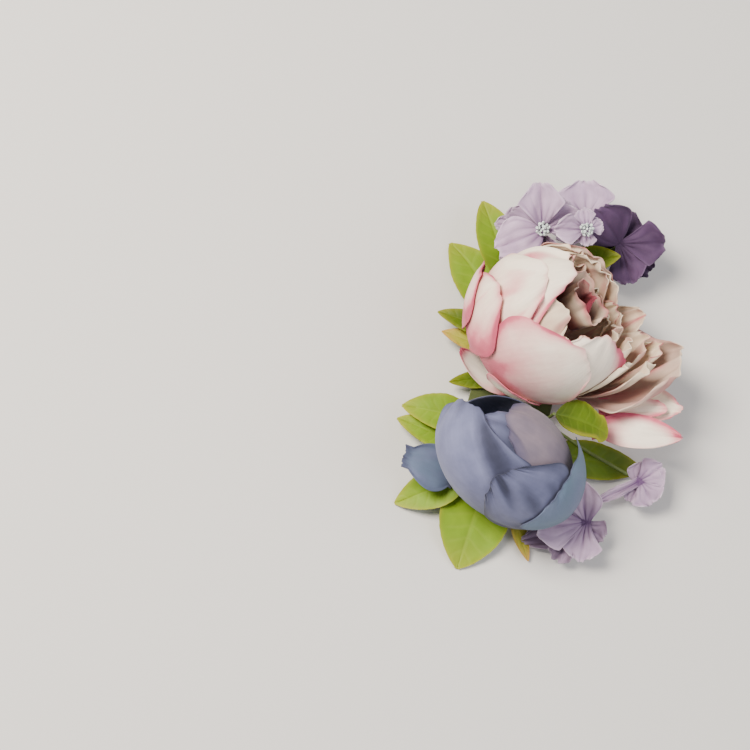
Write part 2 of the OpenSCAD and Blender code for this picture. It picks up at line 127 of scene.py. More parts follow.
PEONY_PETALS = [
    Petal(6, 41.2, 36, 66, 34, flare=1.0, lean=34),
    Petal(-34, 42.8, 30, 47, 24),
    Petal(-64, 44.4, 30, 38, 22),
    Petal(-38, 39.4, 30, 67, 32, ruffle=0.2),
    Petal(-47, 37.0, 30, 76, 36, curl=1.5, ruffle=0.2),
    Petal(60, 38.8, 30, 75, 34, ruffle=0.2, flare=5.0),
    Petal(56, 43.6, 25, 27, 22),
    Petal(129, 39.0, 58, 71, 35, 1.42, 30, ruffle=1.6),
    Petal(200, 41.0, 75, 40, 30, 1.00, 2, ruffle=0.2),
]
PEONY_INNER = [
    Petal(228, 37.8, 70, 40, 17, ruffle=0.2),
    Petal(185, 39.1, 75, 40, 20, 1.00, 2, ruffle=0.2),
    Petal(206, 36.2, 75, 40, 22, ruffle=0.2),
    Petal(134, 36.0, 45, 62, 16, 1.15, 16, ruffle=1.0),
    Petal(148, 34.5, 45, 51, 15, 1.10, 1, ruffle=0.5),
    Petal(-2, 35.0, 40, 56, 20, ruffle=0.3),
    Petal(66, 35.6, 40, 58, 20, 1.00, 1, ruffle=0.3),
    Petal(-66, 33.4, 40, 50, 20, ruffle=0.3),
    Petal(108, 33.4, 40, 50, 17, ruffle=0.5),
    Petal(172, 32.8, 60, 34, 16, ruffle=0.4),
    Petal(24, 32.5, 40, 44, 14, ruffle=0.5),
]
# Small frills crowded between the peony's inner petals and its heart
PEONY_FRILLS = [
    Petal(108, 37.2, 52, 60, 13, 1.22, 17, ruffle=1.2),
    Petal(133, 37.9, 54, 62, 13, 1.28, 22, ruffle=1.4),
    Petal(156, 37.4, 56, 54, 14, 1.24, 19, ruffle=1.2),
    Petal(96, 36.7, 48, 54, 10, 1.10, 8, ruffle=1.0),
    Petal(118, 34.9, 48, 54, 12, 1.08, 6, ruffle=1.2),
    Petal(160, 34.2, 52, 46, 12, 1.05, 3, ruffle=1.0),
    Petal(128, 31.6, 50, 46, 11, 1.00, 2, ruffle=1.0),
    Petal(98, 31.2, 48, 45, 10, ruffle=1.0),
    Petal(66, 32.0, 46, 46, 13, ruffle=1.0),
    Petal(48, 29.6, 46, 44, 10, ruffle=1.0),
    Petal(-4, 30.6, 46, 44, 13, ruffle=1.0),
    Petal(-38, 31.4, 46, 46, 13, ruffle=1.0),
    Petal(-84, 30.0, 46, 44, 12, ruffle=1.0),
    Petal(-118, 31.6, 50, 44, 12, ruffle=1.0),
    Petal(-150, 32.4, 55, 40, 13, ruffle=1.0),
    Petal(190, 30.2, 56, 36, 11, ruffle=1.0),
    Petal(150, 28.6, 50, 38, 9, 1.00, 2, ruffle=1.0),
]
ROSE_PETALS = [
    Petal(-66, 30.2, 25, 92, 35, lean=8),
    Petal(4, 26.6, 20, 69, 33),
    Petal(50, 28.2, 46, 42, 27, ruffle=0.2),
    Petal(-26, 31.9, 26, 48, 27, lean=10),
    Petal(15, 33.6, 24, 27, 31),
    Petal(-140, 26.0, 45, 64, 26, ruffle=0.2),
    Petal(160, 27.6, 45, 60, 26, ruffle=0.2),
    Petal(-90, 24.0, 35, 62, 24, ruffle=0.2),
]
# half width at the foot, place of the greatest width, and half width at the tip, as shares
PETAL_CUT = (0.25, 0.58, 0.5)
# how much shorter a petal's sides are than its middle, and half the number of waves across its rim
PETAL_ROUNDING = 0.1
RIM_WAVES = 2.5


def cut(t, foot, widest, tip):
    """Half width along a petal, as a share of its widest place."""
    rising = mix(foot, 1, np.sin(np.pi / 2 * np.minimum(t / widest, 1)))
    falling = mix(tip, 1, np.cos(np.pi / 2 * np.clip((t - widest) / (1 - widest), 0, 1)))
    return np.where(t < widest, rising, falling)


def flower_axes(flower):
    """A flower's axis, the direction across it that faces the viewer most, and the one beside that."""
    axis = aimed(flower["aim"], flower["rise"])
    front = unit(np.array([0, 0, 1]) - axis[2] * axis)
    return axis, front, np.cross(axis, front)


def petal(flower, row):
    """A petal's form, as a function of across, along and how far a point stands out from it."""
    axis, front, aside = flower_axes(flower)
    turn, start, opened, leaned = map(math.radians, (row.around, row.start, row.opening, row.lean))
    out = front * math.cos(turn) + aside * math.sin(turn)
    beside = -front * math.sin(turn) + aside * math.cos(turn)
    up = axis * flower["tall"]
    rise = out * math.cos(start) + up * math.sin(start)
    outward = out * math.sin(start) - up * math.cos(start)
    onward = rise * math.cos(leaned) + beside * math.sin(leaned)
    sideways = beside * math.cos(leaned) - rise * math.sin(leaned)
    own = row.layer * row.bend
    crowded = up * flower["crowd"] * (flower["ball"] - row.layer)
    hinge = seen(flower["at"]) + crowded + outward * row.layer

    def form(across, along, proud=0.0, wider=1.0, longer=1.0):
        eased = 1 - (1 - along) ** 1.35
        t = eased * (1 - PETAL_ROUNDING * across**2) * longer
        width = row.half * wider * cut(eased, *PETAL_CUT)
        sweep = across * width / own
        edge = np.maximum(t**3, np.abs(across**3) * t)
        flare = np.maximum(0, row.flare * across) ** 1.5 / math.sqrt(max(1, row.flare))
        wave = np.sin(math.pi * RIM_WAVES * across + 3 * turn)
        r = own + row.curl * t**5 + flare * np.minimum(1, 2 * t) + row.ruffle * edge * wave + proud
        far = r * np.cos(sweep) * np.cos(t * row.reach / own) - own
        on = r * np.cos(sweep) * np.sin(t * row.reach / own)
        return (
            hinge
            + np.multiply.outer(far * math.cos(opened) + on * math.sin(opened), outward)
            + np.multiply.outer(on * math.cos(opened) - far * math.sin(opened), onward)
            + np.multiply.outer(r * np.sin(sweep), sideways)
        )

    return form


# Leaves, and petals that lie back like leaves


class Leaf(NamedTuple):
    """One leaf, in millimetres and degrees."""

    foot: tuple  # x, y and height
    tip: tuple
    half: float  # half its width
    arch: float = 0  # how far its middle rises
    swing: float = 0  # how far its middle swings to the side
    fold: float = 0.0  # slope of its halves, up from the midrib
    roll: float = 0  # turn round its own length
    foot_width: float = 0.08  # as a share of the widest place
    tip_width: float = 0.08


PEONY_OUTER = [
    Leaf((-15, -11, 14), (-41, 11.5, 29), 7, -3, foot_width=0.3, tip_width=0.1),
    Leaf((30, -19, 24.7), (66, -19.5, 35.2), 6.5, 1, foot_width=0.8, tip_width=0.6),
    Leaf((27, -29, 25), (73, -34.5, 36.4), 9.3, 3, foot_width=0.7, tip_width=0.1),
    Leaf((36, -13, 21.7), (74, -20, 33.2), 11, foot_width=0.4, tip_width=0.4),
]
ROSE_OUTER = Leaf((-44, -54, 14), (-69, -42, 22), 12, 2, foot_width=0.5, tip_width=0.5)
LEAVES = [
    Leaf((-16, 46, 17), (-30, 89, 12), 12, 2, fold=0.2),
    Leaf((-24, 28, 10), (-47, 67, 1), 14, 2, -3, 0.1),
    Leaf((-25, 20, 15), (-52.5, 30.5, 13), 6, 2, fold=0.2),
    Leaf((-24.5, 10, 10.5), (-50.5, 20.5, 9), 5.5, 2, fold=0.2),
    Leaf((-18, -3, 9), (-46.5, -5.5, 9), 5, fold=0.1),
    Leaf((-34, -26, 12), (-70, -17.5, 10), 10, 3, fold=0.2),
    Leaf((-40, -38, 9), (-72.5, -24, 7), 8, 2, fold=0.2),
    Leaf((-38, -54, 13), (-73.5, -67, 1), 10, 1, fold=0.2),
    Leaf((-28, -56, 9), (-42, -100, 1), 18, 1, fold=0.1),
    Leaf((-14, -72, 6.5), (-6, -97, 2), 4, fold=0.1),
    Leaf((8, -21.8, 45), (34, -32, 46), 12.5, 2, 0, 0.1, -25, 0.15, 0.85),
    Leaf((4, -42, 7.6), (54, -52, 1), 10, 1),
    Leaf((14, 55, 7), (42, 60, 28), 8, 2, fold=0.2),
]


def length_of(row):
    """A leaf's length from foot to tip."""
    return float(np.linalg.norm(seen(row.tip) - seen(row.foot)))


def leaf(row):
    """A leaf's form, as a function of across, along and how far a point stands out from it."""
    foot, tip, roll = seen(row.foot), seen(row.tip), math.radians(row.roll)
    along_it = unit(tip - foot)
    flat = unit(np.cross(TABLE_UP, along_it))
    side = flat * math.cos(roll) + np.cross(along_it, flat) * math.sin(roll)
    up = np.cross(along_it, side)

    def form(across, along, proud=0.0, wider=1.0, longer=1.0):
        along = along * longer
        ends = mix(row.foot_width, row.tip_width, along)
        width = row.half * wider * np.maximum(ends, np.sin(np.pi * np.clip(along, 0, 1) ** 0.8) ** 0.7)
        arc = 4 * along * (1 - along)
        return (
            foot
            + np.multiply.outer(along, tip - foot)
            + np.multiply.outer(arc, up * row.arch + side * row.swing)
            + np.multiply.outer(across * width, side)
            + np.multiply.outer(np.abs(across) * width * row.fold + proud, up)
        )

    return form


# Florets, whose lobes are one sheet that meets at the hub


class Lobe(NamedTuple):
    """One lobe of a floret, in millimetres and degrees."""

    aim: float  # its direction round the view
    rise: float  # its slope towards the viewer
    length: float
    half: float  # half its width
    cup: float  # how far its edges stand up
    fold: float  # slope of its halves, up from the middle


# each floret's hub as x, y and height, how far it is darkened to violet (partly dye, partly painted shade),
# and its lobes in the order of Lobe's fields
FLORETS = [
    ((1.5, 73, 36), 0.15, [(22, -12, 22, 10, 1, 0.0), (93, 20, 27, 12.5, 0, 0.5),
                           (203, 3, 27.5, 12.5, 1, 0.1)]),
    ((24, 72.6, 47.3), 0.3, [(20, -25, 10, 5, 1, 0.0), (100, -15, 12, 6, 1, 0.0), (180, 15, 18, 8, 0, 0.4),
                             (270, -10, 9, 5, 0, 0.0)]),
    ((42, 67, 21), 0.6, [(0, 5, 25, 13, 1, 0.1), (124, 32, 27, 14, 1, 0.0), (286, 0, 23, 12, 1, 0.1)]),
    ((24, 80.3, 19.6), 0.1, [(92, 5, 21, 16, 2, 0.0), (205, 0, 20, 10, 1, 0.1), (330, -5, 14, 9, 1, 0.0)]),
    ((-12, 76, 25), 0.4, [(10, -20, 10, 5, 1, 0.1), (100, 0, 10, 5.5, 1, 0.0), (180, 0, 12, 5, 1, 0.1),
                          (270, -10, 10, 5, 1, 0.0)]),
    ((51.5, -57, 14), 0.3, [(35, 0, 15, 9, 1, 0.0), (205, 0, 28, 3, 0, 0.3), (300, 0, 14, 10, 1, 0.0)]),
    ((23, -77, 17), 0.2, [(92, 10, 22, 9, 1, 0.1), (186, 20, 28, 13, 1, 0.0), (262, 0, 21, 11, 2, 0.0)]),
]
# a second, lower layer of lobes on the same wire: which floret, how far behind, how far it is darkened to
# violet (partly dye, partly painted shade), its lobes
UNDER_LAYERS = [
    (1, 3.0, 0.65, [(48, -22, 24, 9, 1, 0.1), (150, -14, 21, 9, 1, 0.1), (224, -8, 29, 9, 1, 0.2),
                    (290, -14, 11, 7, 1, 0.1)]),
    (3, 3.0, 0.7, [(72, -12, 21, 10, 1, 0.1), (322, -14, 24, 11, 1, 0.1), (200, -20, 16, 8, 1, 0.1)]),
    (6, 2.0, 0.35, [(345, 4, 13, 9, 1, 0.1), (250, -8, 12, 7, 1, 0.1), (80, 0, 11, 7, 1, 0.1)]),
    (7, 3.0, 0.75, [(196, 4, 34, 8, 1, 0.3), (232, 3, 25, 11, 2, 0.1), (322, -10, 14, 8, 1, 0.1)]),
]
LOBE_CUT = (0.25, 0.6, 0.5)
# radius of the ring on which lobes meet, and the share of a lobe's rows inside it
HUB_RING = 3
HUB_SHARE = 0.1
# points nearer than this become one where lobes meet
SEAM = 0.02
# a lobe is as wide as the angle to its neighbours leaves room for, up to this one
WIDEST_PARTING = 150


def lobe(hub, lobes, k):
    """The form of one lobe of a floret, from the middle of its hub to its tip."""
    own, before, after = lobes[k], lobes[k - 1], lobes[(k + 1) % len(lobes)]
    parting = [(own.aim - before.aim) % 360, (after.aim - own.aim) % 360]
    corners = [
        hub + HUB_RING * aimed(before.aim + parting[0] / 2, (before.rise + own.rise) / 2),
        hub + HUB_RING * aimed(own.aim + parting[1] / 2, (own.rise + after.rise) / 2),
    ]
    room = 0.9 * math.tan(math.radians(min(WIDEST_PARTING, *parting) / 2))
    along_it = aimed(own.aim, own.rise)
    side = unit(np.cross([0, 0, 1], along_it))
    up = np.cross(along_it, side)

    def form(across, along, proud=0.0, wider=1.0, longer=1.0):
        t = np.clip((along - HUB_SHARE) / (1 - HUB_SHARE), 0, 1)
        width = np.minimum(own.half * wider * cut(t, *LOBE_CUT), room * own.length * t)
        lift = own.cup * across**2 * t + own.fold * np.abs(across) * width + proud
        blade = (
            hub
            + np.multiply.outer(own.length * t * longer * (1 - 0.1 * across**2), along_it)
            + np.multiply.outer(across * width, side)
            + np.multiply.outer(lift, up)
        )
        ring = corners[0] + np.multiply.outer((across + 1) / 2, corners[1] - corners[0])
        whole = ring + (blade - ring) * smooth(0, 0.45, t)[:, None]
        inner = np.minimum(along / HUB_SHARE, 1)[:, None]
        return np.where(along[:, None] < HUB_SHARE, hub + (ring - hub) * inner, whole)

    return form


# Cloth made into mesh


def alone(*pieces):
    """Deselects everything but the given pieces, the first of which becomes the active one."""
    bpy.ops.object.select_all(action="DESELECT")
    for piece in pieces:
        piece.select_set(True)
    if pieces:
        bpy.context.view_layer.objects.active = pieces[0]


def grid(name, columns, rows):
    """A flat grid with its across, from -1 to 1, and its along, from 0 at the foot to 1 at the tip."""
    alone()
    bpy.ops.mesh.primitive_grid_add(x_subdivisions=columns, y_subdivisions=rows, size=2)
    piece = bpy.context.object
    piece.name = piece.data.name = name
    flat = np.empty(len(piece.data.vertices) * 3)
    piece.data.vertices.foreach_get("co", flat)
    flat = flat.reshape(-1, 3)
    return piece, flat[:, 0].copy(), (flat[:, 1] + 1) / 2


def place(piece, points):
    piece.data.vertices.foreach_set("co", on_table(points).ravel())
    piece.data.update()


def tint(piece, rim, foot, warm):
    """Stores each point's share of the rim's, the foot's and the warm colour, as red, green and blue."""
    store = piece.data.color_attributes.new("tint", "FLOAT_COLOR", "POINT")
    channels = np.clip(np.stack([rim, foot, warm, np.ones_like(rim)], 1), 0, 1)
    store.data.foreach_set("color", channels.astype(np.float32).ravel())


def cloth_map(piece, wide, long):
    """A second UV map in millimetres, for the weave and the streaks."""
    share = np.empty(len(piece.data.loops) * 2)
    piece.data.uv_layers[0].data.foreach_get("uv", share)
    layer = piece.data.uv_layers.new(name="cloth_mm")
    layer.data.foreach_set("uv", ((share.reshape(-1, 2) - [0.5, 0]) * [wide, long]).ravel())


def finish_cloth(piece):
    """Gives a sheet its thickness and soft shading."""
    wall = piece.modifiers.new("wall", "SOLIDIFY")
    wall.thickness = CLOTH * MM
    wall.offset = 0
    wall.use_even_offset = False
    alone(piece)
    bpy.ops.object.modifier_apply(modifier=wall.name)
    bpy.ops.object.shade_smooth_by_angle(angle=SOFT_ANGLE)


def dress(piece, material, node=None):
    """Gives a piece its material and slot, and has it stand for a node where one is given."""
    piece.data.materials.clear()
    piece.data.materials.append(material)
    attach(piece, "root")
    if node:
        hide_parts(node)


# Materials


def linear(code):
    """An sRGB hex colour as linear red, green, blue and alpha."""
    parts = [int(code[i : i + 2], 16) / 255 for i in (1, 3, 5)]
    return [c / 12.92 if c <= 0.04045 else ((c + 0.055) / 1.055) ** 2.4 for c in parts] + [1]


def add(tree, kind, inputs=None, **settings):
    """Adds a node with its settings and links, and gives its outputs.

    Each input gets a value or another node's output.
    """
    node = tree.nodes.new(kind)
    for name, value in settings.items():
        setattr(node, name, value)
    for name, value in (inputs or {}).items():
        if isinstance(value, bpy.types.NodeSocket):
            tree.links.new(value, node.inputs[name])
        else:
            node.inputs[name].default_value = value
    return node.outputs


def begin(name, finish):
    """A new material, its tree, and its shader with the values that are the same all over."""
    material = bpy.data.materials.new(name)
    material.use_nodes = True
    shader = material.node_tree.nodes["Principled BSDF"]
    for socket, value in finish.items():
        shader.inputs[socket].default_value = value
    return material, material.node_tree, shader


# cloudy dye changes over 11 mm and in blots of 3.5 mm; fibres are drawn 0.6 mm apart, coarser than the
# real 0.02 mm so that they show
MOTTLE = 1 / 0.011
BLOTCH = 1 / 0.0035
FIBRE = 1 / 0.0006
# bands on the millimetre map repeat every 0.314 / scale: threads 0.5 mm apart, coarser than the real
# 0.2 mm so that they show
THREAD = 0.63
# streaks on the millimetre map, about 2 mm wide and 20 mm long
STREAK = (0.55, 0.05, 1)
GLOSS = "Specular IOR Level"
CLOTH_FINISH = {"Roughness": 0.72, "Sheen Weight": 0.12, "Sheen Roughness": 0.45, GLOSS: 0.25}
LEAF_FINISH = {"Roughness": 0.6, "Sheen Weight": 0.04, "Sheen Roughness": 0.4, GLOSS: 0.25}


def begin_cloth(name, finish):
    """A cloth's material, with the marks of its tint and three noises: mottling, blots and fibres."""
    material, tree, shader = begin(name, finish)
    marks = add(tree, "ShaderNodeAttribute", attribute_name="tint")["Color"]
    marks = add(tree, "ShaderNodeSeparateColor", {"Color": marks})
    spot = add(tree, "ShaderNodeTexCoord")["Object"]
    noises = [
        add(tree, "ShaderNodeTexNoise", {"Vector": spot, "Scale": scale, "Detail": 3.0})["Fac"]
        for scale in (MOTTLE, BLOTCH, FIBRE)
    ]
    return material, tree, shader, marks, noises


def emboss(tree, shader, patterns, strength, depth):
    """Raises the surface by patterns, each with its share, to a depth in millimetres."""
    height = 0.0
    for pattern, share in patterns:
        terms = {0: pattern, 1: share, 2: height}
        height = add(tree, "ShaderNodeMath", terms, operation="MULTIPLY_ADD")[0]
    bump = add(tree, "ShaderNodeBump", {"Height": height, "Strength": strength, "Distance": depth * MM})
    tree.links.new(bump["Normal"], shader.inputs["Normal"])


def shaped_cloth(name, body, shade, rim, deep, foot, warm, streaked=0.1):
    """Polyester silk, woven, stiffened, pressed hot and dyed by brush.

    It is matt with a faint sheen, cloudy in colour, and stronger in colour where dye has run in from
    its edges; the rim's colour is also laid in the troughs of the waves as painted shade. foot is painted
    shade, laid towards the foot and on some petals all over. warm is a second colour that lies over the
    whole petal; on the florets it is a dark violet, partly dye and partly painted shade.
    """
    material, tree, shader, marks, (mottle, blotch, fibre) = begin_cloth(name, CLOTH_FINISH)
    cloth = add(tree, "ShaderNodeUVMap", uv_map="cloth_mm")["UV"]
    # the dye's front is uneven: the rim's mark, give or take 0.08 by the blots and 0.1 by the mottling
    front = add(tree, "ShaderNodeMath", {0: blotch, 1: 0.16, 2: marks["Red"]}, operation="MULTIPLY_ADD")[0]
    front = add(tree, "ShaderNodeMath", {0: mottle, 1: 0.2, 2: front}, operation="MULTIPLY_ADD")[0]
    bleed = add(tree, "ShaderNodeMath", {0: front, 1: 0.18}, operation="SUBTRACT", use_clamp=True)[0]
    cloud = {0: mottle, 1: 1.5, 2: -0.3}
    cloud = add(tree, "ShaderNodeMath", cloud, operation="MULTIPLY_ADD", use_clamp=True)[0]
    thin = add(tree, "ShaderNodeMapRange", {"Value": bleed, "From Min": 0.08, "From Max": 0.82})["Result"]
    heavy = add(tree, "ShaderNodeMapRange", {"Value": bleed, "From Min": 0.7, "From Max": 1.085})["Result"]
    colour = linear(body)
    # the green mark lays the foot's colour last, as painted shade
    dyes_and_painted_shade = ((cloud, shade), (marks["Blue"], warm), (thin, rim), (heavy, deep), (marks["Green"], foot))
    for share, dye in dyes_and_painted_shade:
        colour = add(tree, "ShaderNodeMix", {0: share, 6: colour, 7: linear(dye)}, data_type="RGBA")[2]
    drawn_out = add(tree, "ShaderNodeMapping", {"Vector": cloth, "Scale": STREAK})[0]
    streak = add(tree, "ShaderNodeTexNoise", {"Vector": drawn_out, "Scale": 1.0, "Detail": 4.0})["Fac"]
    tone = {0: streak, 1: 2 * streaked, 2: 1 - streaked}
    tone = add(tree, "ShaderNodeMath", tone, operation="MULTIPLY_ADD")[0]
    toned = {0: 1.0, 6: colour, 7: tone}
    toned = add(tree, "ShaderNodeMix", toned, data_type="RGBA", blend_type="MULTIPLY")[2]
    tree.links.new(toned, shader.inputs["Base Color"])
    warp, weft = (
        add(tree, "ShaderNodeTexWave", {"Vector": cloth, "Scale": THREAD, "Distortion": 0.4},
            wave_type="BANDS", bands_direction=way)["Fac"]
        for way in "XY"
    )
    weave = add(tree, "ShaderNodeMath", {0: warp, 1: weft}, operation="MULTIPLY")[0]
    emboss(tree, shader, [(weave, 0.25), (fibre, 0.35), (streak, 1.6)], 0.35, 0.22)
    return material


def leaf_cloth(name, body, shade, rim, deep, vein):
    """Waxed polyester cloth, pressed in a mould with a midrib and side veins.

    It is green with a dull shine, its veins are paler, its rim browner and its foot darker.
    """
    material, tree, shader, marks, (mottle, blotch, fibre) = begin_cloth(name, LEAF_FINISH)
    front = add(tree, "ShaderNodeMath", {0: mottle, 1: 0.35, 2: marks["Red"]}, operation="MULTIPLY_ADD")[0]
    bleed = add(tree, "ShaderNodeMath", {0: front, 1: 0.175}, operation="SUBTRACT", use_clamp=True)[0]
    cloud = {0: mottle, 1: 1.5, 2: -0.25}
    cloud = add(tree, "ShaderNodeMath", cloud, operation="MULTIPLY_ADD", use_clamp=True)[0]
    veined = add(tree, "ShaderNodeMath", {0: marks["Blue"], 1: 0.16}, operation="MULTIPLY")[0]
    colour = linear(body)
    for share, dye in ((cloud, shade), (bleed, rim), (marks["Green"], deep), (veined, vein)):
        colour = add(tree, "ShaderNodeMix", {0: share, 6: colour, 7: linear(dye)}, data_type="RGBA")[2]
    tree.links.new(colour, shader.inputs["Base Color"])
    emboss(tree, shader, [(fibre, 0.5), (blotch, 0.8)], 0.35, 0.2)
    return material


# cream cloth with pink brushed in from the rim, and its foot colour laid as painted pink shade: soft bright
# cups
PEONY_CLOTH = shaped_cloth(
    "dyed polyester silk, cream and pink",
    body="#fff3e2", shade="#f6e6d4", rim="#dd7788", deep="#a83856", foot="#cf8088", warm="#ecdbbd",
)
# the back petals' broad fan: the same cloth dyed dusty pink, with painted shade in the troughs of its folds
# and towards its foot
PEONY_BACK = shaped_cloth(
    "dyed polyester silk, dusty pink",
    body="#b89c8b", shade="#99766f", rim="#bb7776", deep="#8f4553", foot="#71484a", warm="#dccab4",
)
# the crowded middle: beige cloth with crimson at its edges, and painted brown shade in its depths
PEONY_HEART = shaped_cloth(
    "dyed polyester silk, beige and crimson",
    body="#e0ceb2", shade="#bd9885", rim="#bd6a6f", deep="#861c3a", foot="#66322f", warm="#f0e3c8",
)
# slate blue dyed in patches, with near black hems, a teal lowest petal, and painted dark shade towards the
# foot and over the inner petals
ROSE_CLOTH = shaped_cloth(
    "dyed polyester silk, slate blue",
    body="#767a9c", shade="#585c7c", rim="#464962", deep="#282a3c", foot="#32354a", warm="#587284",
)
# the petal that faded to mauve, with painted dark shade towards its foot
ROSE_MAUVE = shaped_cloth(
    "dyed polyester silk, mauve",
    body="#7f727c", shade="#61596a", rim="#4a4660", deep="#302f40", foot="#3a3748", warm="#8a7a7a",
)
# thin lilac cloth, white at its rim, violet towards the hub, with painted violet shade along its creases;
# its warm colour, a dark violet, is partly dye and partly painted shade
FLORET_CLOTH = shaped_cloth(
    "dyed polyester silk, lilac",
    body="#d2b9d4", shade="#a488aa", rim="#decfde", deep="#ece2e8", foot="#5c3f68", warm="#2d1b33",
    streaked=0.2,
)
# the same cloth dyed deep violet, with painted shade almost black in its creases
FLORET_DEEP = shaped_cloth(
    "dyed polyester silk, violet",
    body="#674c70", shade="#452e50", rim="#84708e", deep="#9c8ca2", foot="#33203c", warm="#281830",
)
# young leaves: bright yellow green, olive at the rim
LEAF_CLOTH = leaf_cloth(
    "waxed leaf cloth, yellow green",
    body="#7f9d18", shade="#5f8012", rim="#a5a02a", deep="#3d5612", vein="#acb850",
)
# leaves that turn: ochre with a brown rim
TURNED_LEAF_CLOTH = leaf_cloth(
    "waxed leaf cloth, turning yellow",
    body="#a8a034", shade="#8d9426", rim="#c08a48", deep="#5d6418", vein="#c0b45c",
)
# leaves between the flowers: deep olive green
DEEP_LEAF_CLOTH = leaf_cloth(
    "waxed leaf cloth, deep green",
    body="#536a06", shade="#3b5208", rim="#8f9020", deep="#2a3a0a", vein="#7d9030",
)


def plain_stuff(name, body, shade, grain, depth, roughness, rough_spread=0.15, finish=None):
    """A material whose colour, roughness and surface vary with its own grain, given in millimetres."""
    material, tree, shader = begin(name, finish or {})
    spot = add(tree, "ShaderNodeTexCoord")["Object"]
    fine, broad = (
        add(tree, "ShaderNodeTexNoise", {"Vector": spot, "Scale": scale, "Detail": detail})["Fac"]
        for scale, detail in ((1 / (grain * MM), 4.0), (1 / (12 * grain * MM), 3.0))
    )
    uneven = add(tree, "ShaderNodeMath", {0: broad, 1: 1.2, 2: fine}, operation="MULTIPLY_ADD")[0]
    share = add(tree, "ShaderNodeMath", {0: uneven, 1: 0.6}, operation="SUBTRACT", use_clamp=True)[0]
    colour = add(tree, "ShaderNodeMix", {0: share, 6: linear(body), 7: linear(shade)}, data_type="RGBA")[2]
    tree.links.new(colour, shader.inputs["Base Color"])
    rough = {0: fine, 1: rough_spread, 2: roughness - rough_spread / 2}
    rough = add(tree, "ShaderNodeMath", rough, operation="MULTIPLY_ADD", use_clamp=True)[0]
    tree.links.new(rough, shader.inputs["Roughness"])
    emboss(tree, shader, [(fine, 1.0)], 0.5, depth)
    return material


# pressed wool: no gloss, tangled fibres that stand up a little
FELT = plain_stuff(
    "pressed wool felt, olive", "#4c5724", "#37401a", 0.5, 0.35, 0.95, finish={"Sheen Weight": 0.4}
)
# waxed crepe paper stretched round wire: wrinkled across, a dull gloss on the raised wrinkles
FLORAL_TAPE = plain_stuff("waxed crepe floral tape, green", "#5f7034", "#424f26", 0.8, 0.3, 0.6)
BROWN_TAPE = plain_stuff("waxed crepe floral tape, brown", "#563b33", "#3d2823", 0.8, 0.3, 0.6)
# drawn and plated steel: even, with fine drawing marks in its gloss
PIN_STEEL = plain_stuff(
    "nickel plated steel", "#c9c6c0", "#b4b1ab", 0.3, 0.01, 0.28, 0.3, finish={"Metallic": 1.0}
)
# pressed glass with a pearl lustre: small bright highlights, slightly cloudy colour
BEAD_GLASS = plain_stuff(
    "pearl lustre seed beads", "#dfe8e4", "#b9c8c6", 1.1, 0.01, 0.22, finish={"Coat Weight": 0.6}
)
# twisted cotton: dull, furrowed along its strands
STITCH_THREAD = plain_stuff("cotton thread, olive", "#7c8050", "#5f6340", 0.25, 0.1, 0.9)

# How a plain petal looks; each petal's own look says only what differs. Lengths are in millimetres.
PLAIN_LOOK = dict(
    rims=(0.5, 0.5, 0.5, 0.5),  # strength of the rim's dye at the near, far, tip and foot edges
    spread=3.0,  # how far each of them runs in
    hem=0.0,  # a thin dyed line along the edge
    valley_shade=0.0,  # painted shade in the rim's colour, down in the troughs of the waves
    patch=0.0,  # the rim's dye in patches
    foot=0.5,  # painted shade in the foot's colour, towards the foot
    foot_reach=0.45,  # how far up it goes, as a share of the length
    shade=0.0,  # painted shade in the foot's colour, all over
    warm=0.0,  # the warm colour all over
    pale=0.0,  # the warm colour along the edge
    dents=0.3,  # height of broad swells
    folds=7,  # number of soft folds that fan out from the foot
    crease=0.07,  # height of those folds
    ruffle=0.25,  # height of the unevenness along the edge
    roll=0.0,  # how far the edge rolls over
    pleats=0.0,  # height of fine pleats near the tip
    waves=0.0,  # height of broad waves across
    ragged=0.03,  # how uneven the outline is
    round=0.0,  # how much shorter the sides are than the middle
)
HEM_WIDE = 0.8
PALE_WIDE = 1.8


